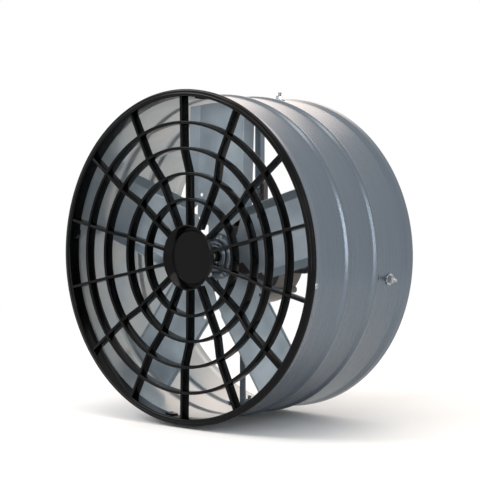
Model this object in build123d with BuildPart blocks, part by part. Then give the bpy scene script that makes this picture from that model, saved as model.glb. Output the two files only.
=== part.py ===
"""Axial exhaust fan for a 500 mm duct, in millimetres.

The fan axis is Y, and the air leaves towards +Y. The origin is the centre of the
housing's rear edge, which enters the duct. A depth is counted from the front lip
of the grille towards the rear, and an angle from +X towards +Z, as seen from the front.
"""

import os
from math import cos, radians, sin, sqrt, tan

from build123d import *

os.makedirs("parts", exist_ok=True)

# Clearances
touch = 0.1  # between pieces that are clamped face to face
running = 0.05  # radial, between a turning piece and its seat
bolt_clearance = 0.3  # radial, between a bolt and its hole

# Housing: a rolled sheet tube with two beads and a raised collar at each end
overall_depth = 255.0
sheet = 1.2
body_radius = 247.5
collar_rise = 3.5
front_collar_end = 18.0
front_slope = 10.0
rear_collar_width = 11.0
rear_slope = 13.0
bead_depths = (92.5, 162.5)
bead_width = 17.0
bead_crest = 5.0
bead_rise = 3.5

# Grille: one moulding that caps the front edge of the housing
rim_overhang = 4.0  # radial, of the rim past the tube's collar
skirt_setback = 2.3  # radial, of the skirt's bore inside the tube's bore
rim_face = 4.0
rim_step = 2.0
rim_bead_width = 6.7
inner_skirt_depth = 22.0
inner_skirt_wall = 2.6
outer_skirt_depth = 8.0
ring_radii = (205.0, 166.0, 128.0, 89.0)
ring_fronts = (1.8, 3.6, 15.6, 17.0)
rib_width = 4.8
rib_depth = 16.5
rib_round = 1.2
spoke_count = 14
dish_radius = 50.2
dish_front = 16.0
dish_floor_radius = 41.0
dish_floor_depth = 28.0
dish_wall = 2.6
lug_width = 14.0
lug_height = 2.6
lug_front = 8.0

# Fixings of the grille and of the motor arms, a quarter turn apart
fixing_count = 4
fixing_angle = -7.3
grille_screw_depth = 14.0
grille_screw_radius = 1.9
grille_screw_head_radius = 4.8
grille_screw_head = 2.4
arm_bolt_depth = 200.0
arm_bolt_radius = 3.0
arm_bolt_head = 4.0
arm_bolt_head_flats = 10.0
arm_washer_radius = 9.0
arm_washer = 1.5
arm_nut = 5.0
arm_stud_end = 6.3

# Motor
motor_radius = 79.0
motor_front = 128.0
motor_split = 167.5
motor_rear = 222.0
shield_wall = 4.5
nose_radius = 40.0
shoulder_front = 150.0
shoulder_rear = 206.0
tail_radius = 62.0
core_radius = 74.0
core_bore = 41.5
core_front = 156.0
core_length = 44.0
winding_overhang = 11.0
winding_edge = 8.0
winding_bore_gap = 3.0
slot_count = 12
slot_depth = 16.0
slot_width = 8.0
air_gap = 0.4
end_ring = 6.0
cage_setback = 1.0
cage_width = 13.0
cage_draft = 2.0
boss_circle_radius = 79.0
boss_radius = 5.5
tie_bolt_radius = 2.0
tie_head = 2.8
tie_head_radius = 3.6
vent_count = 8
vent_radius = 5.0
vent_circle_radius = 50.0

# Shaft and bearings
shaft_radius = 6.0
shaft_thread_radius = 5.0
bearing_outer_radius = 16.0
bearing_width = 10.0
bearing_inner_wall = 2.6
bearing_ring_gap = 0.3

# Motor arms: pressed angle strips set to one side of the centre, with a turned foot
arm_offset = 16.0
arm_width = 11.0
arm_flange = 10.5
arm_sheet = 2.0
ear_reach = 108.0
ear_radius = 11.0
ear_thickness = 10.0
ear_screw_radius = 2.5
ear_screw_head = 3.2
ear_screw_head_radius = 4.6
foot_length = 47.0
foot_width = 37.0

# Impeller: five folded sheet blades between a boss and a pressed disc
blade_count = 5
blade_first_angle = 88.0
blade_sheet = 1.5
blade_mid_depth = 89.0
blade_tip_gap = 8.3  # radial, between a blade's tip and the tube
blade_flat_half = 45.0
blade_flange = 15.0
blade_fold_angle = 45.0
blade_fold_radius = 2.0
blade_fold_start = 78.0
blade_root_start = 13.0
blade_root_gap = 1.2
blade_neck_half = 21.3
blade_neck_end = 46.0
blade_flare_end = 59.0
blade_hole_radius = 3.0
blade_hole_along = 94.0
blade_hole_across = 38.0
boss_flange_radius = 41.0
boss_flange = 4.0
boss_body_radius = 16.0
boss_rear = 116.0
disc_sheet = 1.5
disc_radius = 36.0
disc_lip_inner = 27.0
disc_crown = 8.0
disc_seat_margin = 1.0
disc_step = 3.0
rivet_circle_radius = 31.5
rivet_radius = 2.0
rivet_head_radius = 3.6
rivet_head = 1.6
rivet_spread = 15.0
hub_nut_flats = 17.0
hub_nut = 8.0
hub_washer_radius = 10.0
hub_washer = 1.6
slinger_radius = 11.0
slinger_width = 4.0

# Electrical pieces on the rear of the motor
capacitor_radius = 13.0
capacitor_length = 62.0
capacitor_gap = 0.3
capacitor_place = -8.0
strap_sheet = 1.2
strap_width = 14.0
strap_foot = 12.0
gland_position = (-34.0, -34.0)
gland_flats = 20.0
gland_collar = 4.0
gland_body_radius = 8.5
gland_length = 18.0
gland_bore = 3.5


def station(depth):
    """The Y of a depth counted from the front lip."""
    return depth - overall_depth


def front_plane(depth):
    """A plane across the axis that faces the front: its local axes are X and Z."""
    return Plane.XZ.offset(overall_depth - depth)


def radial_plane(angle, depth, radius=0.0):
    """A plane that faces outwards from the axis at an angle and a depth."""
    out = (cos(radians(angle)), 0, sin(radians(angle)))
    origin = (radius * out[0], station(depth), radius * out[2])
    return Plane(origin=origin, x_dir=(0, 1, 0), z_dir=out)


def turned(shape, angle):
    """A copy of a shape drawn at angle 0, turned about the fan axis."""
    return shape.rotate(Axis.Y, -angle)


def outline(points):
    """A closed face from (radius, depth) pairs, for turning about the axis."""
    with BuildSketch(Plane.XY) as face:
        with BuildLine():
            Polyline([(r, station(d)) for r, d in points], close=True)
        make_face()
    return face.sketch


def polar(radius, angle):
    """The (X, Z) place at a radius and an angle."""
    return (radius * cos(radians(angle)), radius * sin(radians(angle)))


collar_radius = body_radius + collar_rise
rim_radius = collar_radius + rim_overhang
rim_inner_radius = body_radius - sheet - skirt_setback
blade_tip_radius = body_radius - sheet - blade_tip_gap
fixing_angles = [fixing_angle + 90 * i for i in range(fixing_count)]
housing_front = rim_face + touch

# Housing tube: the outer line of the sheet, given its thickness inwards and turned
bead_points = []
for bead_depth in bead_depths:
    bead_points += [
        (body_radius, bead_depth - bead_width / 2),
        (body_radius + bead_rise, bead_depth - bead_crest / 2),
        (body_radius + bead_rise, bead_depth + bead_crest / 2),
        (body_radius, bead_depth + bead_width / 2),
    ]
rear_collar_start = overall_depth - rear_collar_width
housing_points = [
    (collar_radius, housing_front),
    (collar_radius, front_collar_end),
    (body_radius, front_collar_end + front_slope),
    *bead_points,
    (body_radius, rear_collar_start - rear_slope),
    (collar_radius, rear_collar_start),
    (collar_radius, overall_depth),
]
inner_points = [(r - sheet, d) for r, d in reversed(housing_points)]
with BuildPart() as housing_tube:
    revolve(outline(housing_points + inner_points), axis=Axis.Y)
    for angle in fixing_angles:
        with BuildSketch(radial_plane(angle, grille_screw_depth, body_radius / 2)):
            Circle(grille_screw_radius + bolt_clearance)
        extrude(amount=body_radius, mode=Mode.SUBTRACT)
        with BuildSketch(radial_plane(angle, arm_bolt_depth, body_radius / 2)):
            Circle(arm_bolt_radius + bolt_clearance)
        extrude(amount=body_radius, mode=Mode.SUBTRACT)
housing_tube.part.label = "housing_tube"
export_step(housing_tube.part, "parts/housing_tube.step")

# Grille: rim, four rings, fourteen spokes that step back towards a dished centre
skirt_outer_radius = rim_inner_radius + inner_skirt_wall
rim_slot_outer = collar_radius + 3 * touch
rim_bead_outer = rim_inner_radius + rim_bead_width
with BuildSketch(Plane.XY) as rim_section:
    with BuildLine():
        Polyline(
            (rim_inner_radius, station(rim_bead_width / 2)),
            (rim_inner_radius, station(inner_skirt_depth)),
            (skirt_outer_radius, station(inner_skirt_depth)),
            (skirt_outer_radius, station(rim_face)),
            (rim_slot_outer, station(rim_face)),
            (rim_slot_outer, station(outer_skirt_depth)),
            (rim_radius, station(outer_skirt_depth)),
            (rim_radius, station(rim_step + rib_round)),
            (rim_radius - rib_round, station(rim_step)),
            (rim_bead_outer, station(rim_step)),
        )
        ThreePointArc(
            (rim_bead_outer, station(rim_step)),
            (rim_inner_radius + rim_bead_width / 2, station(0)),
            (rim_inner_radius, station(rim_bead_width / 2)),
        )
    make_face()


def rib_section(radius, front):
    """The closed face of a ring's rib, with its front edges eased."""
    inner = radius - rib_width / 2
    outer = radius + rib_width / 2
    return outline(
        [
            (inner, front + rib_round),
            (inner + rib_round, front),
            (outer - rib_round, front),
            (outer, front + rib_round),
            (outer, front + rib_depth),
            (inner, front + rib_depth),
        ]
    )


def spoke_reach(radius):
    """The depth of a spoke's front edge at a radius."""
    stops = [
        (dish_floor_radius, dish_front),
        (ring_radii[2], ring_fronts[2]),
        (ring_radii[1], ring_fronts[1]),
        (rim_inner_radius, rim_step),
    ]
    for (r0, d0), (r1, d1) in zip(stops, stops[1:]):
        if r0 <= radius <= r1:
            return d0 + (d1 - d0) * (radius - r0) / (r1 - r0)
    return rim_step


spoke_radii = (
    dish_radius - dish_wall,
    ring_radii[2],
    ring_radii[1],
    rim_inner_radius + inner_skirt_wall / 2,
)
spoke_front = [(r, spoke_reach(r)) for r in spoke_radii]
spoke_back = [(r, d + rib_depth) for r, d in reversed(spoke_front)]
with BuildPart() as spoke:
    with BuildSketch(Plane.XY):
        add(outline(spoke_front + spoke_back))
    extrude(amount=rib_width / 2, both=True)

with BuildPart() as grille:
    revolve(rim_section.sketch, axis=Axis.Y)
    for radius, front in zip(ring_radii, ring_fronts):
        revolve(rib_section(radius, front), axis=Axis.Y)
    dish_points = [
        (dish_radius - dish_wall, dish_front),
        (dish_radius, dish_front),
        (dish_floor_radius + dish_wall / 2, dish_floor_depth + dish_wall),
        (0, dish_floor_depth + dish_wall),
        (0, dish_floor_depth),
        (dish_floor_radius - dish_wall / 2, dish_floor_depth),
    ]
    revolve(outline(dish_points), axis=Axis.Y)
    for i in range(spoke_count):
        add(turned(spoke.part, 90 + 360 * i / spoke_count))
    for angle in fixing_angles:
        lug_depth = (lug_front + inner_skirt_depth) / 2
        with BuildSketch(radial_plane(angle, lug_depth, rim_inner_radius - lug_height)):
            Rectangle(inner_skirt_depth - lug_front, lug_width)
        extrude(amount=lug_height + inner_skirt_wall / 2)
        with BuildSketch(radial_plane(angle, grille_screw_depth, rim_inner_radius / 2)):
            Circle(grille_screw_radius + running)
        extrude(amount=skirt_outer_radius - rim_inner_radius / 2 + touch, mode=Mode.SUBTRACT)
grille.part.label = "grille"
export_step(grille.part, "parts/grille.step")

# Grille screws: pan heads on the front collar, driven inwards into the lugs
with BuildPart() as grille_screws:
    for angle in fixing_angles:
        with BuildSketch(radial_plane(angle, grille_screw_depth, collar_radius + touch)):
            Circle(grille_screw_head_radius)
        extrude(amount=grille_screw_head, taper=20)
        with BuildSketch(radial_plane(angle, grille_screw_depth, collar_radius + touch)):
            Circle(grille_screw_radius)
        extrude(amount=-(collar_radius - rim_inner_radius + lug_height))
grille_screws.part.label = "grille_screws"
export_step(grille_screws.part, "parts/grille_screws.step")

# Motor arms: drawn for the top of the fan and turned to the four sides
foot_outer = body_radius - sheet - touch
arm_front = motor_split - touch - arm_sheet
arm_inner_end = ear_reach - ear_radius
arm_left = arm_offset - arm_width / 2
arm_right = arm_offset + arm_width / 2
arm_bolt_across = (body_radius - sheet) * sin(radians(-fixing_angle))
with BuildPart() as arm:
    with BuildSketch(front_plane(arm_front + arm_sheet)):
        with Locations((arm_offset, (arm_inner_end + foot_outer) / 2)):
            Rectangle(arm_width, foot_outer - arm_inner_end)
    extrude(amount=arm_sheet)
    flange_start = ear_reach + ear_radius + 2
    with BuildSketch(front_plane(arm_front + arm_flange)):
        with Locations((arm_right - arm_sheet / 2, (flange_start + foot_outer) / 2)):
            Rectangle(arm_sheet, foot_outer - flange_start)
    extrude(amount=arm_flange)
    with BuildSketch(front_plane(arm_front + foot_length)) as foot_sketch:
        Circle(foot_outer)
        Circle(foot_outer - arm_sheet, mode=Mode.SUBTRACT)
        with Locations((arm_left + foot_width / 2, foot_outer)):
            Rectangle(foot_width, foot_outer / 4, mode=Mode.INTERSECT)
    extrude(amount=foot_length)
    with BuildSketch(front_plane(0)):
        Circle(foot_outer)
    extrude(amount=-overall_depth, mode=Mode.INTERSECT)
    with BuildSketch(front_plane(arm_front + arm_sheet)):
        with Locations((arm_offset, ear_reach)):
            Circle(ear_screw_radius + bolt_clearance)
    extrude(amount=arm_sheet, mode=Mode.SUBTRACT)
    with BuildSketch(radial_plane(90 + fixing_angle, arm_bolt_depth, body_radius / 2)):
        Circle(arm_bolt_radius + bolt_clearance)
    extrude(amount=body_radius, mode=Mode.SUBTRACT)
for i in range(fixing_count):
    bracket_arm = turned(arm.part, 90 * i)
    bracket_arm.label = f"bracket_arm_{i + 1}"
    export_step(bracket_arm, f"parts/{bracket_arm.label}.step")

# Arm bolts: the head lies inside on the foot, and the thread ends outside in a nut
head_face = foot_outer - arm_sheet - touch
with BuildPart() as arm_bolts:
    for angle in fixing_angles:
        with BuildSketch(radial_plane(angle, arm_bolt_depth, head_face)):
            RegularPolygon(arm_bolt_head_flats / 2, 6, major_radius=False)
        extrude(amount=-arm_bolt_head)
        with BuildSketch(radial_plane(angle, arm_bolt_depth, head_face)):
            Circle(arm_bolt_radius)
        stud_top = body_radius + touch + arm_washer + arm_nut + arm_stud_end
        extrude(amount=stud_top - head_face)
arm_bolts.part.label = "arm_bolts"
export_step(arm_bolts.part, "parts/arm_bolts.step")

with BuildPart() as arm_washers:
    for angle in fixing_angles:
        with BuildSketch(radial_plane(angle, arm_bolt_depth, body_radius + touch)):
            Circle(arm_washer_radius)
            Circle(arm_bolt_radius + bolt_clearance, mode=Mode.SUBTRACT)
        extrude(amount=arm_washer)
arm_washers.part.label = "arm_washers"
export_step(arm_washers.part, "parts/arm_washers.step")

nut_base = body_radius + 2 * touch + arm_washer
with BuildPart() as arm_nuts:
    for angle in fixing_angles:
        with BuildSketch(radial_plane(angle, arm_bolt_depth, nut_base)):
            RegularPolygon(arm_bolt_head_flats / 2, 6, major_radius=False)
            Circle(arm_bolt_radius + running, mode=Mode.SUBTRACT)
        extrude(amount=arm_nut)
arm_nuts.part.label = "arm_nuts"
export_step(arm_nuts.part, "parts/arm_nuts.step")

# Motor shields: two cast cups that meet at the split and carry the bearings
bearing_seat_radius = bearing_outer_radius + running / 2
seat_wall = 5.0
core_end = core_front + core_length
core_seat_radius = core_radius + running
tie_angles = [45 + 90 * i for i in range(4)]
shaft_hole_radius = shaft_radius + 1.5
front_bearing_start = motor_front + shield_wall
rear_bearing_end = motor_rear - shield_wall
front_shield_points = [
    (shaft_hole_radius, motor_front),
    (nose_radius, motor_front),
    (motor_radius, shoulder_front),
    (motor_radius, motor_split - touch),
    (core_seat_radius, motor_split - touch),
    (core_seat_radius, core_front - touch),
    (core_seat_radius - shield_wall, core_front - touch),
    (core_seat_radius - shield_wall, shoulder_front),
    (nose_radius - shield_wall / 2, motor_front + shield_wall),
    (bearing_seat_radius + seat_wall, motor_front + shield_wall),
    (bearing_seat_radius + seat_wall, front_bearing_start + bearing_width),
    (bearing_seat_radius, front_bearing_start + bearing_width),
    (bearing_seat_radius, front_bearing_start),
    (shaft_hole_radius, front_bearing_start),
]
with BuildPart() as motor_front_shield:
    revolve(outline(front_shield_points), axis=Axis.Y)
    with BuildSketch(front_plane(motor_split - touch)):
        for angle in tie_angles:
            with Locations(polar(boss_circle_radius, angle)):
                Circle(boss_radius)
    extrude(amount=motor_split - shoulder_front + boss_radius)
    with BuildSketch(front_plane(motor_split)):
        Circle(core_seat_radius)
    extrude(amount=motor_split - core_front + touch, mode=Mode.SUBTRACT)
    with BuildSketch(front_plane(motor_split)):
        for angle in tie_angles:
            with Locations(polar(boss_circle_radius, angle)):
                Circle(tie_bolt_radius + running)
    extrude(amount=motor_split - motor_front, mode=Mode.SUBTRACT)
    with BuildSketch(front_plane(shoulder_front)):
        for i in range(vent_count):
            with Locations(polar(vent_circle_radius, 360 * i / vent_count)):
                Circle(vent_radius)
    extrude(amount=shoulder_front - motor_front + touch, mode=Mode.SUBTRACT)
motor_front_shield.part.label = "motor_front_shield"
export_step(motor_front_shield.part, "parts/motor_front_shield.step")

rear_shield_points = [
    (0, motor_rear),
    (tail_radius, motor_rear),
    (motor_radius, shoulder_rear),
    (motor_radius, motor_split),
    (core_seat_radius, motor_split),
    (core_seat_radius, core_end + touch),
    (core_seat_radius - shield_wall, core_end + touch),
    (tail_radius - shield_wall, motor_rear - shield_wall),
    (bearing_seat_radius + seat_wall, motor_rear - shield_wall),
    (bearing_seat_radius + seat_wall, rear_bearing_end - bearing_width),
    (bearing_seat_radius, rear_bearing_end - bearing_width),
    (bearing_seat_radius, rear_bearing_end),
    (0, rear_bearing_end),
]
with BuildPart() as motor_rear_shield:
    revolve(outline(rear_shield_points), axis=Axis.Y)
    with BuildSketch(front_plane(shoulder_rear + boss_radius / 2)):
        for angle in tie_angles:
            with Locations(polar(boss_circle_radius, angle)):
                Circle(boss_radius)
    extrude(amount=shoulder_rear + boss_radius / 2 - motor_split)
    with BuildSketch(front_plane(motor_split + ear_thickness)) as ear_sketch:
        for i in range(fixing_count):
            with Locations(Location((0, 0, 0), (0, 0, 90 * i))):
                with Locations((arm_offset, ear_reach)):
                    Circle(ear_radius)
                with Locations((arm_offset, (motor_radius + ear_reach) / 2 - ear_radius / 2)):
                    Rectangle(2 * ear_radius, ear_reach - motor_radius + ear_radius)
    extrude(amount=ear_thickness)
    with BuildSketch(front_plane(core_end + touch)):
        Circle(core_seat_radius)
    extrude(amount=core_end + touch - motor_split, mode=Mode.SUBTRACT)
    with BuildSketch(front_plane(motor_split + ear_thickness)):
        for i in range(fixing_count):
            with Locations(Location((0, 0, 0), (0, 0, 90 * i))):
                with Locations((arm_offset, ear_reach)):
                    Circle(ear_screw_radius + running)
    extrude(amount=ear_thickness, mode=Mode.SUBTRACT)
    with BuildSketch(front_plane(motor_rear)):
        for angle in tie_angles:
            with Locations(polar(boss_circle_radius, angle)):
                Circle(tie_bolt_radius + running)
        with Locations(gland_position):
            Circle(gland_body_radius)
    extrude(amount=motor_rear - motor_split, mode=Mode.SUBTRACT)
    with BuildSketch(front_plane(motor_rear + touch)):
        for i in range(vent_count):
            if i != vent_count * 5 // 8:
                with Locations(polar(vent_circle_radius, 360 * i / vent_count)):
                    Circle(vent_radius)
    extrude(amount=shield_wall + 2 * touch, mode=Mode.SUBTRACT)
motor_rear_shield.part.label = "motor_rear_shield"
export_step(motor_rear_shield.part, "parts/motor_rear_shield.step")

# Ear screws: through the arm's web into the ear, heads to the front
with BuildPart() as ear_screws:
    with BuildSketch(front_plane(arm_front - touch)):
        for i in range(fixing_count):
            with Locations(Location((0, 0, 0), (0, 0, 90 * i))):
                with Locations((arm_offset, ear_reach)):
                    Circle(ear_screw_head_radius)
    extrude(amount=ear_screw_head, taper=15)
    with BuildSketch(front_plane(arm_front - touch)):
        for i in range(fixing_count):
            with Locations(Location((0, 0, 0), (0, 0, 90 * i))):
                with Locations((arm_offset, ear_reach)):
                    Circle(ear_screw_radius)
    extrude(amount=-(arm_sheet + ear_thickness))
ear_screws.part.label = "ear_screws"
export_step(ear_screws.part, "parts/ear_screws.step")

# Tie bolts: four long screws that clamp the two shields on the core
tie_head_face = shoulder_front - boss_radius - touch
tie_end = shoulder_rear + boss_radius / 2 + tie_head
with BuildPart() as tie_bolts:
    with BuildSketch(front_plane(tie_head_face)):
        for angle in tie_angles:
            with Locations(polar(boss_circle_radius, angle)):
                Circle(tie_head_radius)
    extrude(amount=tie_head)
    with BuildSketch(front_plane(tie_head_face)):
        for angle in tie_angles:
            with Locations(polar(boss_circle_radius, angle)):
                Circle(tie_bolt_radius)
    extrude(amount=-(tie_end - tie_head_face))
tie_bolts.part.label = "tie_bolts"
export_step(tie_bolts.part, "parts/tie_bolts.step")

# Stator: laminated core with open slots in its bore, and the two winding heads
with BuildPart() as stator_core:
    with BuildSketch(front_plane(core_end)):
        Circle(core_radius)
        Circle(core_bore, mode=Mode.SUBTRACT)
        for i in range(slot_count):
            with Locations(Location((0, 0, 0), (0, 0, 360 * i / slot_count))):
                with Locations((core_bore + slot_depth / 2 - touch, 0)):
                    Rectangle(slot_depth, slot_width, mode=Mode.SUBTRACT)
    extrude(amount=core_length)
stator_core.part.label = "stator_core"
export_step(stator_core.part, "parts/stator_core.step")

winding_outer = core_radius - shield_wall - winding_edge
winding_inner = core_bore + winding_bore_gap
with BuildPart() as stator_windings:
    for edge, way in ((core_front - touch, -1), (core_end + touch, 1)):
        far = edge + way * winding_overhang
        ease = way * winding_overhang / 3
        coil_points = [
            (winding_inner, edge),
            (winding_outer, edge),
            (winding_outer, far - ease),
            (winding_outer - winding_overhang / 3, far),
            (winding_inner + winding_overhang / 3, far),
            (winding_inner, far - ease),
        ]
        revolve(outline(coil_points), axis=Axis.Y)
stator_windings.part.label = "stator_windings"
export_step(stator_windings.part, "parts/stator_windings.step")

# Ball bearings: an outer ring with its shields, and an inner ring that turns
bearing_inner_radius = shaft_radius + bearing_inner_wall
for place, start in (("front", front_bearing_start), ("rear", rear_bearing_end - bearing_width)):
    outer_start = start + touch
    outer_end = start + bearing_width - touch
    race = bearing_inner_radius + bearing_ring_gap
    race_wall = bearing_outer_radius - bearing_inner_wall
    outer_points = [
        (race, outer_start),
        (bearing_outer_radius, outer_start),
        (bearing_outer_radius, outer_end),
        (race, outer_end),
        (race, outer_end - 1),
        (race_wall, outer_end - 1),
        (race_wall, outer_start + 1),
        (race, outer_start + 1),
    ]
    inner_ring = [
        (shaft_radius + running, outer_start),
        (bearing_inner_radius, outer_start),
        (bearing_inner_radius, outer_end),
        (shaft_radius + running, outer_end),
    ]
    with BuildPart() as bearing_outer:
        revolve(outline(outer_points), axis=Axis.Y)
    bearing_outer.part.label = f"{place}_bearing_outer_ring"
    export_step(bearing_outer.part, f"parts/{bearing_outer.part.label}.step")
    with BuildPart() as bearing_inner:
        revolve(outline(inner_ring), axis=Axis.Y)
    bearing_inner.part.label = f"{place}_bearing_inner_ring"
    export_step(bearing_inner.part, f"parts/{bearing_inner.part.label}.step")

# Shaft: a plain bar with a threaded front end
blade_front = blade_mid_depth - blade_sheet / 2
blade_rear = blade_mid_depth + blade_sheet / 2
disc_rear = blade_front - touch
disc_crown_front = disc_rear - disc_crown
shaft_shoulder = blade_rear + 1
hub_washer_front = blade_front - 3 * touch - hub_washer - disc_sheet
shaft_front = hub_washer_front - hub_nut - 2
shaft_points = [
    (0, shaft_front),
    (shaft_thread_radius - 1, shaft_front),
    (shaft_thread_radius, shaft_front + 1),
    (shaft_thread_radius, shaft_shoulder),
    (shaft_radius, shaft_shoulder),
    (shaft_radius, rear_bearing_end - touch),
    (0, rear_bearing_end - touch),
]
with BuildPart() as shaft:
    revolve(outline(shaft_points), axis=Axis.Y)
shaft.part.label = "shaft"
export_step(shaft.part, "parts/shaft.step")

# Rotor core and cage: laminations on the shaft, with a cast ring at each end
rotor_radius = core_bore - air_gap
rotor_points = [
    (shaft_radius + running, core_front),
    (rotor_radius, core_front),
    (rotor_radius, core_end),
    (shaft_radius + running, core_end),
]
with BuildPart() as rotor_core:
    revolve(outline(rotor_points), axis=Axis.Y)
rotor_core.part.label = "rotor_core"
export_step(rotor_core.part, "parts/rotor_core.step")

cage_outer = rotor_radius - cage_setback
cage_inner = cage_outer - cage_width
with BuildPart() as rotor_cage:
    for edge, way in ((core_front - touch, -1), (core_end + touch, 1)):
        cage_points = [
            (cage_inner, edge),
            (cage_outer, edge),
            (cage_outer - cage_draft, edge + way * end_ring),
            (cage_inner + cage_draft / 2, edge + way * end_ring),
        ]
        revolve(outline(cage_points), axis=Axis.Y)
rotor_cage.part.label = "rotor_cage_rings"
export_step(rotor_cage.part, "parts/rotor_cage_rings.step")

# Slinger: a rubber ring on the shaft in front of the motor
slinger_rear = motor_front - 1.5
slinger_points = [
    (shaft_radius + running, slinger_rear - slinger_width),
    (slinger_radius - 2, slinger_rear - slinger_width),
    (slinger_radius, slinger_rear - 1),
    (slinger_radius, slinger_rear),
    (shaft_radius + running, slinger_rear),
]
with BuildPart() as shaft_slinger:
    revolve(outline(slinger_points), axis=Axis.Y)
shaft_slinger.part.label = "shaft_slinger"
export_step(shaft_slinger.part, "parts/shaft_slinger.step")

# Impeller boss: a turned flange behind the blades, on the shaft
spigot_radius = blade_root_start - 1
with BuildPart() as impeller_boss:
    boss_points = [
        (shaft_radius + running, shaft_shoulder - touch),
        (shaft_radius + running, boss_rear),
        (boss_body_radius, boss_rear),
        (boss_body_radius, blade_rear + touch + boss_flange),
        (boss_flange_radius, blade_rear + touch + boss_flange),
        (boss_flange_radius, blade_rear + touch),
        (spigot_radius, blade_rear + touch),
        (spigot_radius, blade_front),
        (shaft_thread_radius + running, blade_front),
        (shaft_thread_radius + running, shaft_shoulder - touch),
    ]
    revolve(outline(boss_points), axis=Axis.Y)
    with BuildSketch(front_plane(boss_rear)):
        for i in range(blade_count):
            for side in (-1, 1):
                angle = blade_first_angle + 360 * i / blade_count + side * rivet_spread
                with Locations(polar(rivet_circle_radius, angle)):
                    Circle(rivet_radius + touch)
    extrude(amount=boss_rear - blade_front, mode=Mode.SUBTRACT)
impeller_boss.part.label = "impeller_boss"
export_step(impeller_boss.part, "parts/impeller_boss.step")

# Blade: drawn along +X, a flat panel with one edge folded forwards and one backwards
fold_reach = blade_flange * cos(radians(blade_fold_angle))
fold_rise = blade_flange * sin(radians(blade_fold_angle))
mid = station(blade_mid_depth)
with BuildPart() as blade:
    with BuildSketch(Plane.YZ.offset(blade_fold_start)) as blade_section:
        with BuildLine() as blade_line:
            FilletPolyline(
                (mid + fold_rise, -blade_flat_half - fold_reach),
                (mid, -blade_flat_half),
                (mid, blade_flat_half),
                (mid - fold_rise, blade_flat_half + fold_reach),
                radius=blade_fold_radius,
            )
            offset(amount=blade_sheet / 2)
        make_face()
    extrude(amount=blade_tip_radius)
    root_half = blade_root_start * tan(radians(180 / blade_count)) - blade_root_gap
    neck_start = (blade_neck_half + blade_root_gap) / tan(radians(180 / blade_count))
    flare_half = blade_flare_end * tan(radians(180 / blade_count)) - blade_root_gap
    panel_start = blade_flare_end + (blade_flat_half - flare_half)
    upper = [
        (blade_root_start, root_half),
        (neck_start, blade_neck_half),
        (blade_neck_end, blade_neck_half),
        (blade_flare_end, flare_half),
        (panel_start, blade_flat_half),
        (blade_fold_start + 1, blade_flat_half),
    ]
    lower = [(x, -z) for x, z in reversed(upper)]
    with BuildSketch(front_plane(blade_rear)) as root_sketch:
        with BuildLine():
            Polyline(upper + lower, close=True)
        make_face()
    extrude(amount=blade_sheet)
    with BuildSketch(front_plane(blade_mid_depth)):
        Circle(blade_tip_radius)
    extrude(amount=blade_flat_half, both=True, mode=Mode.INTERSECT)
    with BuildSketch(front_plane(blade_rear)):
        with Locations((blade_hole_along, blade_hole_across)):
            Circle(blade_hole_radius)
        for side in (-1, 1):
            with Locations(polar(rivet_circle_radius, side * rivet_spread)):
                Circle(rivet_radius + touch)
    extrude(amount=blade_sheet, mode=Mode.SUBTRACT)
for i in range(blade_count):
    copy = turned(blade.part, blade_first_angle + 360 * i / blade_count)
    copy.label = f"blade_{i + 1}"
    export_step(copy, f"parts/{copy.label}.step")

# Clamp disc: a pressed sheet disc with two raised rings, in front of the blades
disc_seat_radius = hub_washer_radius + disc_seat_margin
disc_line = [
    (shaft_thread_radius + 2 * touch, disc_rear),
    (disc_seat_radius, disc_rear),
    (disc_seat_radius + disc_step, disc_rear - disc_crown),
    (disc_seat_radius + 2 * disc_step, disc_rear - disc_crown),
    (disc_seat_radius + 3 * disc_step, disc_rear - disc_crown / 2),
    (disc_seat_radius + 4 * disc_step, disc_rear - disc_crown / 2),
    (disc_lip_inner, disc_rear),
    (disc_radius, disc_rear),
]
disc_front_line = [(r, d - disc_sheet) for r, d in reversed(disc_line)]
with BuildPart() as clamp_disc:
    revolve(outline(disc_line + disc_front_line), axis=Axis.Y)
    with BuildSketch(front_plane(disc_rear)):
        for i in range(blade_count):
            for side in (-1, 1):
                angle = blade_first_angle + 360 * i / blade_count + side * rivet_spread
                with Locations(polar(rivet_circle_radius, angle)):
                    Circle(rivet_radius + touch)
    extrude(amount=disc_sheet, mode=Mode.SUBTRACT)
clamp_disc.part.label = "clamp_disc"
export_step(clamp_disc.part, "parts/clamp_disc.step")

# Rivets: through the disc, a blade and the boss flange
rivet_front = disc_rear - disc_sheet - touch
rivet_rear = blade_rear + 2 * touch + boss_flange
with BuildPart() as hub_rivets:
    for i in range(blade_count):
        for side in (-1, 1):
            angle = blade_first_angle + 360 * i / blade_count + side * rivet_spread
            with BuildSketch(front_plane(rivet_rear + rivet_head)):
                with Locations(polar(rivet_circle_radius, angle)):
                    Circle(rivet_head_radius)
            extrude(amount=rivet_head)
            with BuildSketch(front_plane(rivet_rear)):
                with Locations(polar(rivet_circle_radius, angle)):
                    Circle(rivet_radius)
            extrude(amount=rivet_rear - rivet_front)
            with BuildSketch(front_plane(rivet_front)):
                with Locations(polar(rivet_circle_radius, angle)):
                    Circle(rivet_head_radius)
            extrude(amount=rivet_head, taper=25)
hub_rivets.part.label = "hub_rivets"
export_step(hub_rivets.part, "parts/hub_rivets.step")

with BuildPart() as hub_washer_piece:
    with BuildSketch(front_plane(hub_washer_front + hub_washer)):
        Circle(hub_washer_radius)
        Circle(shaft_thread_radius + touch, mode=Mode.SUBTRACT)
    extrude(amount=hub_washer)
hub_washer_piece.part.label = "hub_washer"
export_step(hub_washer_piece.part, "parts/hub_washer.step")

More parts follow.
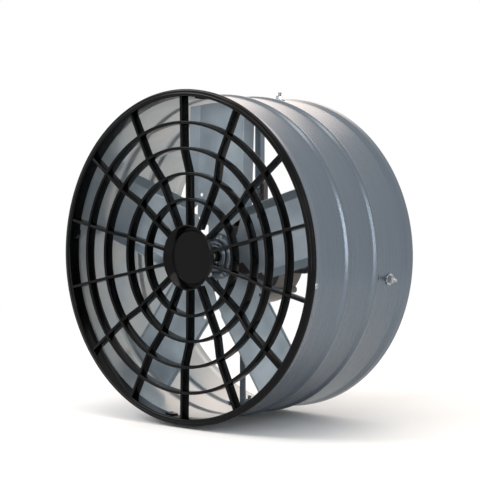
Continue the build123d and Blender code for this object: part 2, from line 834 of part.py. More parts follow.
with BuildPart() as hub_nut_piece:
    with BuildSketch(front_plane(hub_washer_front - touch)):
        RegularPolygon(hub_nut_flats / 2, 6, major_radius=False)
        Circle(shaft_thread_radius + running, mode=Mode.SUBTRACT)
    extrude(amount=hub_nut)
hub_nut_piece.part.label = "hub_nut"
export_step(hub_nut_piece.part, "parts/hub_nut.step")

# Run capacitor: lies across the rear of the motor, under a sheet strap
capacitor_depth = motor_rear + capacitor_radius + capacitor_gap
with BuildPart() as run_capacitor:
    with BuildSketch(Plane.YZ.offset(capacitor_place - capacitor_length / 2)):
        with Locations((station(capacitor_depth), 0)):
            Circle(capacitor_radius)
    extrude(amount=capacitor_length)
    chamfer(run_capacitor.edges().filter_by(GeomType.CIRCLE), 1.5)
run_capacitor.part.label = "run_capacitor"
export_step(run_capacitor.part, "parts/run_capacitor.step")

strap_inner = capacitor_radius + capacitor_gap
with BuildPart() as capacitor_strap:
    with BuildSketch(Plane.YZ.offset(capacitor_place - strap_width / 2)):
        with BuildLine():
            foot_y = station(motor_rear + touch)
            strap_y = station(capacitor_depth)
            outer = strap_inner + strap_sheet
            Line((foot_y, outer + strap_foot), (foot_y, strap_inner))
            Line((foot_y, strap_inner), (strap_y, strap_inner))
            ThreePointArc((strap_y, strap_inner), (strap_y + strap_inner, 0), (strap_y, -strap_inner))
            Line((strap_y, -strap_inner), (foot_y, -strap_inner))
            Line((foot_y, -strap_inner), (foot_y, -outer - strap_foot))
            Line((foot_y, -outer - strap_foot), (foot_y + strap_sheet, -outer - strap_foot))
            Line((foot_y + strap_sheet, -outer - strap_foot), (foot_y + strap_sheet, -outer))
            Line((foot_y + strap_sheet, -outer), (strap_y, -outer))
            ThreePointArc((strap_y, -outer), (strap_y + outer, 0), (strap_y, outer))
            Line((strap_y, outer), (foot_y + strap_sheet, outer))
            Line((foot_y + strap_sheet, outer), (foot_y + strap_sheet, outer + strap_foot))
            Line((foot_y + strap_sheet, outer + strap_foot), (foot_y, outer + strap_foot))
        make_face()
    extrude(amount=strap_width)
    strap_hole = outer + strap_foot / 2
    with BuildSketch(front_plane(motor_rear + 2 * strap_sheet)):
        for side in (-1, 1):
            with Locations((capacitor_place, side * strap_hole)):
                Circle(tie_bolt_radius + bolt_clearance)
    extrude(amount=2 * strap_sheet, mode=Mode.SUBTRACT)
capacitor_strap.part.label = "capacitor_strap"
export_step(capacitor_strap.part, "parts/capacitor_strap.step")

with BuildPart() as strap_screws:
    for side in (-1, 1):
        with BuildSketch(front_plane(motor_rear + 2 * touch + strap_sheet)):
            with Locations((capacitor_place, side * strap_hole)):
                Circle(tie_head_radius)
        extrude(amount=-tie_head)
        with BuildSketch(front_plane(motor_rear + 2 * touch + strap_sheet)):
            with Locations((capacitor_place, side * strap_hole)):
                Circle(tie_bolt_radius)
        extrude(amount=touch + strap_sheet)
strap_screws.part.label = "strap_screws"
export_step(strap_screws.part, "parts/strap_screws.step")

# Cable gland: a plastic gland screwed into the rear shield, with an open bore
with BuildPart() as cable_gland:
    with BuildSketch(front_plane(motor_rear + touch)):
        with Locations(gland_position):
            Circle(gland_body_radius - running)
    extrude(amount=shield_wall)
    with BuildSketch(front_plane(motor_rear + touch)):
        with Locations(gland_position):
            RegularPolygon(gland_flats / 2, 6, major_radius=False)
    extrude(amount=-gland_collar)
    with BuildSketch(front_plane(motor_rear + touch + gland_collar)):
        with Locations(gland_position):
            Circle(gland_body_radius)
    extrude(amount=-(gland_length - gland_collar), taper=6)
    with BuildSketch(front_plane(motor_rear + touch + gland_length)):
        with Locations(gland_position):
            Circle(gland_bore)
    extrude(amount=gland_length + shield_wall, mode=Mode.SUBTRACT)
cable_gland.part.label = "cable_gland"
export_step(cable_gland.part, "parts/cable_gland.step")
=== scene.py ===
from math import cos, pi, radians, sin

import bpy
from mathutils import Matrix, Vector


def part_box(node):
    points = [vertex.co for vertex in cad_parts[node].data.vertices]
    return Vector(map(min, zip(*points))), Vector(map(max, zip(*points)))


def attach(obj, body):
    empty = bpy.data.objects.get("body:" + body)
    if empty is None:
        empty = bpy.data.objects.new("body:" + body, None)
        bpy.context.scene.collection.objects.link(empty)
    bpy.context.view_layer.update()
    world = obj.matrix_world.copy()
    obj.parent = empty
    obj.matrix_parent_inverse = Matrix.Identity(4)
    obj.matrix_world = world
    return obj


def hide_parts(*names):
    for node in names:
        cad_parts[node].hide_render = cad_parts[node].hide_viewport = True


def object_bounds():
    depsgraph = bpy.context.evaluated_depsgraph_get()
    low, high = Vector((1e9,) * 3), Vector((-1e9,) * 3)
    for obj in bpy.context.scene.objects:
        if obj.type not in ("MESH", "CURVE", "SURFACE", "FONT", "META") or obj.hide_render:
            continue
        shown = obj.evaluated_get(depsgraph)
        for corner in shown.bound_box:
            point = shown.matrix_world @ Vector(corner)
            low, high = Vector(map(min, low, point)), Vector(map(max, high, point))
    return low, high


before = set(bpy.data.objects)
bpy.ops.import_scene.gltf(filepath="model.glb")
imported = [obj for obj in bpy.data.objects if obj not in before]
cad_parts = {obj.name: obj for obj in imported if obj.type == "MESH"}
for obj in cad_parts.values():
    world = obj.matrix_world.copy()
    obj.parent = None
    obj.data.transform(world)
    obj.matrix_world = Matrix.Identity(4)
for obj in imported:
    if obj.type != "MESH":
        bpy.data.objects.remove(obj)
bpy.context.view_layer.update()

# Housing tube: galvanised sheet rolled to a tube, with two beads rolled in and a raised
# collar at each end. The grille caps its front edge and its rear edge enters the duct.
MM = 0.001
front_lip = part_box("grille")[0].y
collar_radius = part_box("housing_tube")[1].x / MM
tube_length = -front_lip / MM
sheet = 1.2
collar_rise = 3.5
tube_radius = collar_radius - collar_rise
front_edge = 4.1
front_collar_end = 18
front_slope = 10
bead_depths = (92.5, 162.5)
bead_width = 17
bead_crest = 5
bead_rise = 3.5
rear_collar_width = 11
rear_slope = 13
roll_radius = 1.6
tube_sides = 192
weld_gap = 0.01


def station(depth):
    """The Y of a depth in millimetres behind the front lip."""
    return front_lip + depth * MM


def deselect():
    """Leaves no object selected."""
    bpy.ops.object.select_all(action="DESELECT")


def turned_piece(name, points, sides, start=front_lip, closed=False):
    """A circle at the first (radius, depth), extruded and resized to each next one along Y."""
    deselect()
    radius, depth = points[0]
    place = (0, start + depth * MM, 0)
    facing = (pi / 2, 0, 0)
    bpy.ops.mesh.primitive_circle_add(vertices=sides, radius=radius * MM, location=place, rotation=facing)
    piece = bpy.context.object
    piece.name = piece.data.name = name
    bpy.ops.object.transform_apply(location=True, rotation=True, scale=True)
    bpy.ops.object.mode_set(mode="EDIT")
    bpy.ops.mesh.select_all(action="SELECT")
    loop = points[1:] + points[:1] if closed else points[1:]
    for next_radius, next_depth in loop:
        bpy.ops.mesh.extrude_edges_move()
        bpy.ops.transform.translate(value=(0, (next_depth - depth) * MM, 0))
        centre = (0, start + next_depth * MM, 0)
        grow = next_radius / radius
        bpy.ops.transform.resize(value=(grow, 1, grow), center_override=centre)
        radius, depth = next_radius, next_depth
    bpy.ops.mesh.select_all(action="SELECT")
    bpy.ops.mesh.remove_doubles(threshold=weld_gap * MM)
    bpy.ops.mesh.normals_make_consistent(inside=False)
    bpy.ops.object.mode_set(mode="OBJECT")
    return piece


def apply_modifier(piece, kind, **settings):
    """Adds a modifier with its settings and makes it part of the mesh."""
    deselect()
    bpy.context.view_layer.objects.active = piece
    piece.select_set(True)
    modifier = piece.modifiers.new(kind.lower(), kind)
    for name, value in settings.items():
        setattr(modifier, name, value)
    bpy.ops.object.modifier_apply(modifier=modifier.name)


def ease_edges(piece, width, segments=2, angle=28):
    """Rounds the corners sharper than an angle, and shades the rest smooth."""
    settings = {"width": width * MM, "segments": segments, "limit_method": "ANGLE"}
    apply_modifier(piece, "BEVEL", angle_limit=radians(angle), **settings)
    shade(piece)


def shade(piece, angle=35):
    """Shades a piece smooth where its faces meet at less than an angle."""
    deselect()
    bpy.context.view_layer.objects.active = piece
    piece.select_set(True)
    bpy.ops.object.shade_smooth_by_angle(angle=radians(angle))


def linear(code):
    """An sRGB hex colour as linear red, green, blue and alpha."""
    parts = [int(code[i : i + 2], 16) / 255 for i in (1, 3, 5)]
    return [c / 12.92 if c <= 0.04045 else ((c + 0.055) / 1.055) ** 2.4 for c in parts] + [1]


def add_node(tree, kind, settings, links):
    """Adds a node, sets its options and plain inputs, and joins inputs to other sockets."""
    new = tree.nodes.new(kind)
    for name, value in settings.items():
        if isinstance(name, int) or name in new.inputs:
            new.inputs[name].default_value = value
        else:
            setattr(new, name, value)
    for name, socket in links.items():
        tree.links.new(socket, new.inputs[name])
    return new


def start_material(name, colour, metallic, roughness):
    """A new material with plain values on its shader, and its node tree and shader."""
    material = bpy.data.materials.new(name)
    material.use_nodes = True
    shader = material.node_tree.nodes["Principled BSDF"]
    shader.inputs["Base Color"].default_value = linear(colour)
    shader.inputs["Metallic"].default_value = metallic
    shader.inputs["Roughness"].default_value = roughness
    return material, material.node_tree, shader


def grain(tree, size_mm, stretch=(1, 1, 1), detail=3):
    """A noise on Object coordinates whose grain has a real size in millimetres."""
    place = add_node(tree, "ShaderNodeTexCoord", {}, {})
    scale = [1 / (size_mm * MM * s) for s in stretch]
    spread = add_node(tree, "ShaderNodeMapping", {"Scale": scale}, {"Vector": place.outputs["Object"]})
    return add_node(tree, "ShaderNodeTexNoise", {"Scale": 1, "Detail": detail}, {"Vector": spread.outputs[0]})


def colour_between(tree, shader, noise, low, high, start=0.3, end=0.7):
    """Runs the base colour from one hex colour to another along a noise."""
    ramp = add_node(tree, "ShaderNodeValToRGB", {}, {"Fac": noise.outputs["Fac"]})
    ramp.color_ramp.elements[0].position = start
    ramp.color_ramp.elements[1].position = end
    ramp.color_ramp.elements[0].color = linear(low)
    ramp.color_ramp.elements[1].color = linear(high)
    tree.links.new(ramp.outputs["Color"], shader.inputs["Base Color"])


def rough_between(tree, shader, noise, low, high):
    """Runs the roughness from one value to another along a noise."""
    spread = {"From Min": 0.3, "From Max": 0.7, "To Min": low, "To Max": high}
    span = add_node(tree, "ShaderNodeMapRange", spread, {"Value": noise.outputs["Fac"]})
    tree.links.new(span.outputs["Result"], shader.inputs["Roughness"])


def raise_grain(tree, shader, noise, height_mm):
    """Lifts the surface along a noise by a height in millimetres."""
    settings = {"Strength": 1, "Distance": height_mm * MM}
    bump = add_node(tree, "ShaderNodeBump", settings, {"Height": noise.outputs["Fac"]})
    tree.links.new(bump.outputs["Normal"], shader.inputs["Normal"])


# Hot-dip galvanised sheet, rolled: satin blue-grey zinc with fine, faint streaks round the
# tube, drawn 1.6 mm apart so that they show.
galvanised, tree, shader = start_material("galvanised_sheet", "#68717B", 1, 0.3)
streaks = grain(tree, 1.6, stretch=(45, 1, 45))
colour_between(tree, shader, streaks, "#656E77", "#6B747E")
rough_between(tree, shader, streaks, 0.26, 0.31)
raise_grain(tree, shader, streaks, 0.007)

# The inside of the same sheet, as a paler, rougher and less metallic copy of the zinc: painted
# light, standing in for the brighter light inside the tube. It has faint clouds.
inner_zinc_painted_light, tree, shader = start_material("galvanised_inner_painted_light", "#A3A8AB", 0.6, 0.36)
clouds = grain(tree, 60)
colour_between(tree, shader, clouds, "#969FA5", "#B4B5B3")
rough_between(tree, shader, clouds, 0.3, 0.42)

tube_line = [
    (collar_radius, front_edge),
    (collar_radius, front_collar_end),
    (tube_radius, front_collar_end + front_slope),
]
for bead in bead_depths:
    tube_line += [
        (tube_radius, bead - bead_width / 2),
        (tube_radius + bead_rise, bead - bead_crest / 2),
        (tube_radius + bead_rise, bead + bead_crest / 2),
        (tube_radius, bead + bead_width / 2),
    ]
tube_line += [
    (tube_radius, tube_length - rear_collar_width - rear_slope),
    (collar_radius, tube_length - rear_collar_width),
    (collar_radius, tube_length),
]
tube = turned_piece("housing_sheet", tube_line, tube_sides)
first_face = tube.data.polygons[0]
if first_face.normal.dot(Vector((first_face.center.x, 0, first_face.center.z))) < 0:
    tube.data.flip_normals()
rolling = {"width": roll_radius * MM, "segments": 3, "limit_method": "ANGLE"}
apply_modifier(tube, "BEVEL", angle_limit=radians(12), **rolling)
tube.data.materials.append(galvanised)
tube.data.materials.append(inner_zinc_painted_light)
apply_modifier(tube, "SOLIDIFY", thickness=sheet * MM, offset=-1, material_offset=1)
shade(tube, 40)
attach(tube, "fan_frame")
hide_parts("housing_tube")

# Grille: one black moulding. A rounded rim caps the tube, four rings and fourteen spokes
# guard the blades, and the spokes step back between two rings to a dished centre.
rim_bore = 244.0
rim_radius = 255
rim_face = 4
rim_step = 2
rim_corner = 1.2
rim_bead_side = 3.4
slot_gap = 0.3
inner_skirt_depth = 22
outer_skirt_depth = 8
skirt_wall = 2.6
rib_width = 4.8
rib_depth = 16.5
ring_radii = (205.0, 166.0, 128.0, 89.0)
ring_fronts = (1.8, 3.6, 15.6, 17.0)
ring_sides = 144
ring_round = 1.3
spoke_count = 14
grille_pieces = []

# Injection-moulded polypropylene, deep black and glossy, with a fine moulded texture that
# keeps it from looking like glass.
moulding, tree, shader = start_material("moulded_polypropylene", "#030304", 0, 0.14)
shader.inputs["Specular IOR Level"].default_value = 0.12
texture = grain(tree, 0.9)
rough_between(tree, shader, texture, 0.1, 0.18)
raise_grain(tree, shader, texture, 0.004)

rim_line = [
    (rim_bore, rim_bead_side),
    (rim_bore, inner_skirt_depth),
    (rim_bore + skirt_wall, inner_skirt_depth),
    (rim_bore + skirt_wall, rim_face),
    (collar_radius + slot_gap, rim_face),
    (collar_radius + slot_gap, outer_skirt_depth),
    (rim_radius, outer_skirt_depth),
    (rim_radius, rim_step + rim_corner),
    (rim_radius - rim_corner, rim_step),
]
# The bead round the rim's front, as places across from the bore and their depths.
rim_bead = [(6.7, 2), (6.2, 1), (5, 0.25), (3.35, 0), (1.7, 0.35), (0.5, 1.3)]
rim_line += [(rim_bore + across, depth) for across, depth in rim_bead]
rim = turned_piece("grille_rim", rim_line, tube_sides, closed=True)
shade(rim, 50)
grille_pieces.append(rim)

for number, (radius, front) in enumerate(zip(ring_radii, ring_fronts), start=1):
    ring_line = [
        (radius - rib_width / 2, front),
        (radius + rib_width / 2, front),
        (radius + rib_width / 2, front + rib_depth),
        (radius - rib_width / 2, front + rib_depth),
    ]
    ring = turned_piece(f"grille_ring_{number}", ring_line, ring_sides, closed=True)
    ease_edges(ring, ring_round, segments=3)
    grille_pieces.append(ring)

dish_radius = 50.2
dish_wall = 2.6
dish_floor_radius = 41.0
dish_floor_depth = 28
spoke_round = 1.2
spoke_start = 16.2
spoke_end = 2.1
step_half = 3
step_ease = 0.8
spoke_line = [
    (dish_radius - dish_wall, spoke_start),
    (ring_radii[2] - step_half, ring_fronts[2]),
    (ring_radii[2] + step_half, ring_fronts[2] - step_ease),
    (ring_radii[1] - step_half, ring_fronts[1] + step_ease),
    (ring_radii[1] + step_half, ring_fronts[1]),
    (rim_bore + 1, spoke_end),
]
deselect()
radius, depth = spoke_line[0]
middle = (radius * MM, station(depth + rib_depth / 2), 0)
bpy.ops.mesh.primitive_plane_add(size=1, location=middle, rotation=(0, pi / 2, 0))
spoke = bpy.context.object
spoke.name = "grille_spoke_1"
spoke.scale = (rib_width * MM, rib_depth * MM, 1)
bpy.ops.object.transform_apply(location=True, rotation=True, scale=True)
bpy.ops.object.mode_set(mode="EDIT")
bpy.ops.mesh.select_all(action="SELECT")
for next_radius, next_depth in spoke_line[1:]:
    step = ((next_radius - radius) * MM, (next_depth - depth) * MM, 0)
    bpy.ops.mesh.extrude_region_move(TRANSFORM_OT_translate={"value": step})
    radius, depth = next_radius, next_depth
bpy.ops.mesh.select_all(action="SELECT")
bpy.ops.mesh.normals_make_consistent(inside=False)
bpy.ops.object.mode_set(mode="OBJECT")
ease_edges(spoke, spoke_round, segments=3, angle=40)


def turned_copy(piece, name, angle):
    """A copy with its own mesh, turned about the fan axis from +X towards +Z."""
    copy = piece.copy()
    copy.data = piece.data.copy()
    copy.name = copy.data.name = name
    bpy.context.scene.collection.objects.link(copy)
    copy.data.transform(Matrix.Rotation(-radians(angle), 4, "Y"))
    return copy


for i in range(1, spoke_count):
    grille_pieces.append(turned_copy(spoke, f"grille_spoke_{i + 1}", 90 + 360 * i / spoke_count))
spoke.data.transform(Matrix.Rotation(-radians(90), 4, "Y"))
grille_pieces.append(spoke)

# The dish's floor has a fine raised line round its edge, and its lip is rounded.
near_axis = 0.01
raised_line = 0.4
dish_line = [
    (near_axis, dish_floor_depth),
    (39.6, dish_floor_depth),
    (40.0, dish_floor_depth - raised_line),
    (40.6, dish_floor_depth - raised_line),
    (dish_floor_radius, dish_floor_depth),
    (dish_radius - 3, 17.2),
    (dish_radius - 2, 16.2),
    (dish_radius - 1, 16),
    (dish_radius, 16.8),
    (dish_floor_radius + dish_wall / 2, dish_floor_depth + dish_wall),
    (near_axis, dish_floor_depth + dish_wall),
]
dish = turned_piece("grille_centre_dish", dish_line, 96)
shade(dish, 30)
grille_pieces.append(dish)

fixing_angle = -7.3
fixing_angles = [fixing_angle + 90 * i for i in range(4)]
lug_radius = rim_bore - 1.2
lug_depth = 15
lug_height = 2.8
lug_side = 14
lug_round = 0.8
for i, angle in enumerate(fixing_angles):
    deselect()
    bpy.ops.mesh.primitive_cube_add(size=1, location=(lug_radius * MM, station(lug_depth), 0))
    lug = bpy.context.object
    lug.name = f"grille_lug_{i + 1}"
    lug.scale = (lug_height * MM, lug_side * MM, lug_side * MM)
    bpy.ops.object.transform_apply(location=True, rotation=True, scale=True)
    ease_edges(lug, lug_round, segments=2)
    lug.data.transform(Matrix.Rotation(-radians(angle), 4, "Y"))
    grille_pieces.append(lug)

for piece in grille_pieces:
    piece.data.materials.append(moulding)
    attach(piece, "fan_frame")
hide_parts("grille")

# Fasteners on the tube: pan-head screws hold the grille, and an M6 bolt with a washer and a
# nut holds each motor arm. All are zinc plated, and the bolts stick out past the nuts.
arm_bolt_depth = 200
grille_screw_depth = 14
touch = 0.1
washer_thickness = 1.5
nut_height = 5
stud_radius = 3
stud_inner_end = 234
stud_end = 6.3
thread_pitch = 1.0
thread_root = 2.55
arm_sheet = 2

# Bright zinc plate: pale blue-white metal, smooth and clean, with a faint cloudiness.
zinc, tree, shader = start_material("bright_zinc_plate", "#A4A9AD", 1, 0.25)
cloud = grain(tree, 3)
colour_between(tree, shader, cloud, "#92979C", "#B5B9BC")
rough_between(tree, shader, cloud, 0.18, 0.34)


def on_the_wall(piece, name, angle, depth):
    """A copy of a piece built upwards along Y, stood on the tube at an angle and a depth."""
    copy = piece.copy()
    copy.data = piece.data.copy()
    copy.name = copy.data.name = name
    bpy.context.scene.collection.objects.link(copy)
    stand = Matrix.Rotation(-radians(angle), 4, "Y") @ Matrix.Rotation(-pi / 2, 4, "Z")
    copy.data.transform(Matrix.Translation((0, station(depth), 0)) @ stand)
    return copy


pan_line = [
    (near_axis, 0.9),
    (1.1, 0.9),
    (1.3, 2.2),
    (2.4, 2.4),
    (3.6, 2.0),
    (4.5, 1.1),
    (4.8, 0),
    (1.9, 0),
    (1.9, -9),
    (near_axis, -9),
]
pan_screw = turned_piece("pan_screw", [(r, collar_radius + touch + h) for r, h in pan_line], 32, start=0)
shade(pan_screw, 40)

nut_flats = 10
washer_base = tube_radius + touch
nut_base = washer_base + washer_thickness + touch
washer_line = [(3.3, 0), (9, 0), (9, 1.2), (8.7, washer_thickness), (3.3, washer_thickness)]
washer = turned_piece("bolt_washer", [(r, washer_base + h) for r, h in washer_line], 48, start=0, closed=True)
shade(washer, 30)
nut_corner = nut_flats / 2 / cos(pi / 6)
nut_line = [
    (3.05, 0.4),
    (3.5, 0),
    (nut_corner - 0.6, 0),
    (nut_corner, 0.5),
    (nut_corner, nut_height - 0.5),
    (nut_corner - 0.6, nut_height),
    (3.5, nut_height),
    (3.05, nut_height - 0.4),
]
hex_nut = turned_piece("bolt_nut", [(r, nut_base + h) for r, h in nut_line], 6, start=0, closed=True)
shade(hex_nut, 25)
stud_top = washer_base + washer_thickness + nut_height + stud_end
stud_line = [(near_axis, stud_inner_end), (stud_radius, stud_inner_end), (stud_radius, nut_base + 4)]
turn = nut_base + nut_height
while turn < stud_top - 1.2:
    stud_line += [(stud_radius, turn), (thread_root, turn + thread_pitch / 2)]
    turn += thread_pitch
stud_line += [(2.9, stud_top - 0.8), (2.3, stud_top), (near_axis, stud_top)]
stud = turned_piece("bolt_stud", stud_line, 24, start=0)
shade(stud, 25)
head_top = tube_radius - sheet - arm_sheet - 2 * touch
head_line = [(near_axis, -4), (5.1, -4), (5.77, -3.5), (5.77, 0), (near_axis, 0)]
bolt_head = turned_piece("bolt_head", [(r, head_top + h) for r, h in head_line], 6, start=0)
shade(bolt_head, 25)

for i, angle in enumerate(fixing_angles, start=1):
    screw = on_the_wall(pan_screw, f"grille_screw_{i}", angle, grille_screw_depth)
    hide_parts("grille_screws")
    ring = on_the_wall(washer, f"arm_washer_{i}", angle, arm_bolt_depth)
    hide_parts("arm_washers")
    nut = on_the_wall(hex_nut, f"arm_nut_{i}", angle, arm_bolt_depth)
    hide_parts("arm_nuts")
    bolt = on_the_wall(stud, f"arm_stud_{i}", angle, arm_bolt_depth)
    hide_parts("arm_bolts")
    head = on_the_wall(bolt_head, f"arm_bolt_head_{i}", angle, arm_bolt_depth)
    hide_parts("arm_bolts")
    for piece in (screw, ring, nut, bolt, head):
        piece.data.materials.append(zinc)
        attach(piece, "fan_frame")
for master in (pan_screw, washer, hex_nut, stud, bolt_head):
    bpy.data.objects.remove(master)


# Motor arms: strips of the same galvanised sheet, folded to an angle and turned at the end
# to a foot that the bolt clamps on the tube.
def dress(node, material):
    """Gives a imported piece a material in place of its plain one."""
    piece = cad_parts[node]
    piece.data.materials.clear()
    piece.data.materials.append(material)


for i in range(1, 5):
    dress(f"bracket_arm_{i}", galvanised)

# Motor: two die-cast cups clamped by four long screws, painted dark. The arms are screwed to
# the ears of the rear cup.
# Brown-black machine paint over a casting: dull, with a slight orange peel.
motor_paint, tree, shader = start_material("machine_paint", "#544A45", 0, 0.42)
peel = grain(tree, 2.4)
colour_between(tree, shader, peel, "#49403C", "#605651")
rough_between(tree, shader, peel, 0.34, 0.5)
raise_grain(tree, shader, peel, 0.12)
for node in ("motor_front_shield", "motor_rear_shield"):
    dress(node, motor_paint)
for node in ("ear_screws", "tie_bolts", "strap_screws"):
    dress(node, zinc)

# Electrical steel, laminated and varnished: dark grey, with the fine lines of the sheets
# across the axis, drawn 1 mm apart.
laminations, tree, shader = start_material("electrical_steel", "#5A5D60", 1, 0.45)
sheets = grain(tree, 1, stretch=(60, 1, 60))
colour_between(tree, shader, sheets, "#484B4E", "#6E7174")
for node in ("stator_core", "rotor_core"):
    dress(node, laminations)

# Enamelled copper wire, wound and dipped: brown-orange, with the lie of the wire round it.
winding, tree, shader = start_material("enamelled_copper", "#8A4B25", 1, 0.38)
turns = grain(tree, 1.2, stretch=(1, 1, 30))
colour_between(tree, shader, turns, "#6E3A1C", "#A6602F")
raise_grain(tree, shader, turns, 0.2)
dress("stator_windings", winding)

# Ground bearing steel: bright and nearly a mirror, with fine grinding marks round it.
bearing, tree, shader = start_material("ground_bearing_steel", "#C4C6C8", 1, 0.16)
marks = grain(tree, 0.6, stretch=(30, 1, 30))
rough_between(tree, shader, marks, 0.12, 0.24)
for node in (
    "front_bearing_outer_ring",
    "rear_bearing_outer_ring",
    "front_bearing_inner_ring",
    "rear_bearing_inner_ring",
):
    dress(node, bearing)

# Shaft: turned steel bar, plain grey, with turning marks round it.
shaft_steel, tree, shader = start_material("turned_steel", "#8F9294", 1, 0.32)
marks = grain(tree, 0.8, stretch=(30, 1, 30))
rough_between(tree, shader, marks, 0.26, 0.4)
dress("shaft", shaft_steel)

# Rotor cage: cast aluminium end rings, pale with a slightly rough cast skin.
cast, tree, shader = start_material("cast_aluminium", "#B9BBBC", 1, 0.48)
skin = grain(tree, 1.4)
rough_between(tree, shader, skin, 0.4, 0.58)
raise_grain(tree, shader, skin, 0.06)
dress("rotor_cage_rings", cast)

# Slinger: a moulded nitrile ring on the shaft, black and dull.
nitrile, tree, shader = start_material("moulded_nitrile", "#1B1B1C", 0, 0.62)
bloom = grain(tree, 1.8)
rough_between(tree, shader, bloom, 0.54, 0.7)
dress("shaft_slinger", nitrile)

# Impeller boss and shaft nut: steel, turned and blackened in oil. The oxide is brown-black.
blackened, tree, shader = start_material("blackened_steel", "#2C2A2B", 0.85, 0.36)
oil = grain(tree, 5)
colour_between(tree, shader, oil, "#211F20", "#3A3636")
rough_between(tree, shader, oil, 0.28, 0.44)
for node in ("impeller_boss", "hub_nut"):
    dress(node, blackened)

# Blades: five blanks of galvanised sheet, with one long edge folded forwards and one
# backwards, and a hole near the fold.
# Cold-rolled galvanised sheet: a flat blue-grey face with soft clouds and little grain.
blade_sheet, tree, shader = start_material("galvanised_blade", "#A9B6C0", 0.75, 0.34)
clouds = grain(tree, 55)
colour_between(tree, shader, clouds, "#9BA9B4", "#B9C5CE")
rough_between(tree, shader, clouds, 0.28, 0.4)
for i in range(1, 6):
    dress(f"blade_{i}", blade_sheet)

# Clamp disc: a sheet disc pressed with two raised rings, riveted over the blade roots. The
# shaft's nut and washer pull it against the boss.
disc_rear = 88.15
disc_sheet = 1.5
disc_line = [
    (5.2, disc_rear),
    (11, disc_rear),
    (12.2, 87.3),
    (13.2, 81.5),
    (14.6, 80.15),
    (16.6, 80.15),
    (18, 81.3),
    (19.4, 83.6),
    (21, 84.15),
    (23.4, 84.15),
    (25.4, 86.2),
    (27.4, disc_rear),
    (36, disc_rear),
]
disc_front_line = [(r, d - disc_sheet) for r, d in reversed(disc_line)]
disc = turned_piece("pressed_clamp_disc", disc_line + disc_front_line, 96, closed=True)
shade(disc, 45)
disc.data.materials.append(galvanised)
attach(disc, "impeller")
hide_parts("clamp_disc")
for node in ("hub_rivets", "hub_washer"):
    dress(node, zinc)

# Rear of the motor: a run capacitor in a pale plastic can under a sheet strap, and a black
# nylon gland for the cable.
# Moulded polycarbonate: pale warm grey, satin, with a faint moulded texture.
can, tree, shader = start_material("moulded_can", "#C3C1BB", 0, 0.44)
texture = grain(tree, 1.2)
rough_between(tree, shader, texture, 0.38, 0.52)
raise_grain(tree, shader, texture, 0.02)
dress("run_capacitor", can)
dress("capacitor_strap", galvanised)

# Moulded nylon: black and slightly waxy.
nylon, tree, shader = start_material("moulded_nylon", "#161617", 0, 0.45)
texture = grain(tree, 1)
rough_between(tree, shader, texture, 0.38, 0.52)
dress("cable_gland", nylon)

# Floor: a wide pale sheet under the fan. Close to the fan it is plain and keeps the shadow,
# and further out it turns to white, alike for the camera, for gloss and through glass.
floor_gap = 0.5
floor_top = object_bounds()[0].z - floor_gap * MM
floor_size = 40
plain_reach = 0.45
white_reach = 2


def seen_rays(tree):
    """1 for the rays that show the background: camera, glossy and transmission."""
    path = add_node(tree, "ShaderNodeLightPath", {}, {})
    shown = path.outputs["Is Camera Ray"]
    for ray in ("Is Glossy Ray", "Is Transmission Ray"):
        pair = {0: shown, 1: path.outputs[ray]}
        shown = add_node(tree, "ShaderNodeMath", {"operation": "MAXIMUM"}, pair).outputs[0]
    return shown


deselect()
bpy.ops.mesh.primitive_plane_add(size=floor_size, location=(0, 0, floor_top))
floor = bpy.context.object
floor.name = "floor"
paper, tree, shader = start_material("pale_floor", "#F6F6F6", 0, 0.9)
glow = add_node(tree, "ShaderNodeEmission", {"Color": (1, 1, 1, 1), "Strength": 1}, {})
spot = add_node(tree, "ShaderNodeTexCoord", {}, {})
reach = add_node(tree, "ShaderNodeVectorMath", {"operation": "LENGTH"}, {0: spot.outputs["Object"]})
fade = {"From Min": plain_reach, "From Max": white_reach}
far = add_node(tree, "ShaderNodeMapRange", fade, {"Value": reach.outputs["Value"]})
pair = {0: seen_rays(tree), 1: far.outputs["Result"]}
share = add_node(tree, "ShaderNodeMath", {"operation": "MULTIPLY"}, pair)
layers = {0: share.outputs[0], 1: shader.outputs[0], 2: glow.outputs[0]}
both = add_node(tree, "ShaderNodeMixShader", {}, layers)
tree.links.new(both.outputs[0], tree.nodes["Material Output"].inputs["Surface"])
floor.data.materials.append(paper)

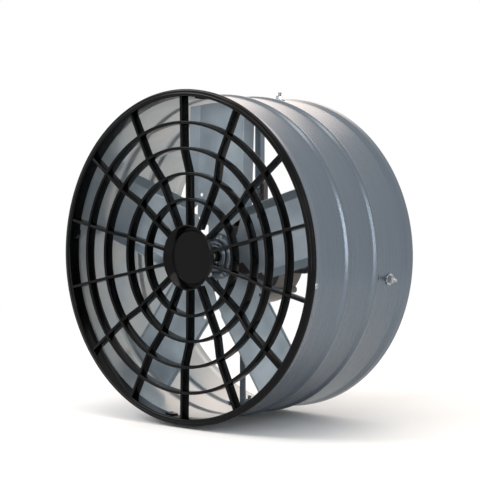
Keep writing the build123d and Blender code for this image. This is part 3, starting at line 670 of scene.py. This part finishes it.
# Light: a white room for the camera, for gloss and through glass, soft boxes above, at the
# left, in front of and behind the fan, and an upright strip at its right for the beads.
lamp_aim = Vector((0, -0.12, 0))
world = bpy.data.worlds.new("studio")
bpy.context.scene.world = world
world.use_nodes = True
tree = world.node_tree
sky = tree.nodes["Background"]
sight = add_node(tree, "ShaderNodeTexCoord", {}, {})
height = add_node(tree, "ShaderNodeSeparateXYZ", {}, {0: sight.outputs["Generated"]})
rise = add_node(tree, "ShaderNodeMapRange", {"From Min": -1, "From Max": 1}, {"Value": height.outputs["Z"]})
tone = add_node(tree, "ShaderNodeValToRGB", {}, {"Fac": rise.outputs["Result"]})
tone.color_ramp.elements[0].color = linear("#3A4046")
tone.color_ramp.elements[1].color = linear("#F2F1EE")
horizon = tone.color_ramp.elements.new(0.5)
horizon.color = linear("#8B949B")
white = {"data_type": "RGBA", 7: (1, 1, 1, 1)}
seen = add_node(tree, "ShaderNodeMix", white, {0: seen_rays(tree), 6: tone.outputs["Color"]})
tree.links.new(seen.outputs[2], sky.inputs["Color"])


def soft_box(name, place, size, power, colour="#FFFFFF"):
    """An area lamp that faces the middle of the fan and doesn't show itself."""
    deselect()
    bpy.ops.object.light_add(type="AREA", location=place)
    lamp = bpy.context.object
    lamp.name = name
    lamp.visible_camera = False
    lamp.data.shape = "RECTANGLE"
    lamp.data.size, lamp.data.size_y = size
    lamp.data.energy = power
    lamp.data.color = linear(colour)[:3]
    lamp.rotation_euler = (lamp_aim - Vector(place)).to_track_quat("-Z", "Y").to_euler()


soft_box("box_above", (0.3, -0.6, 2.4), (1.8, 1.8), 28, "#FFF3E8")
soft_box("box_left", (-1.6, -1.9, 1.9), (1.2, 1.2), 36)
soft_box("box_front", (1.5, -2.9, 1.5), (1.0, 1.0), 17)
soft_box("strip_right", (2.6, -0.5, 0.5), (0.22, 2.0), 24)
soft_box("box_behind", (-1.3, 1.7, 1.0), (2.0, 1.2), 12, "#FFE6D5")

# Camera: a little above the fan's axis and to its right, as in the photograph.
camera_place = Vector((1.5297, -1.904, 0.1106))
camera_azimuth = 40.52
camera_height = 2.12
deselect()
bpy.ops.object.camera_add(location=camera_place)
camera = bpy.context.object
camera.data.lens = 111.62
camera.data.sensor_width = 36
camera.data.clip_end = 100
turn = radians(camera_azimuth)
tilt = radians(camera_height)
sight_line = Vector((-sin(turn) * cos(tilt), cos(turn) * cos(tilt), -sin(tilt)))
camera.rotation_euler = sight_line.to_track_quat("-Z", "Y").to_euler()
bpy.context.scene.camera = camera
bpy.context.scene.view_settings.view_transform = "Standard"
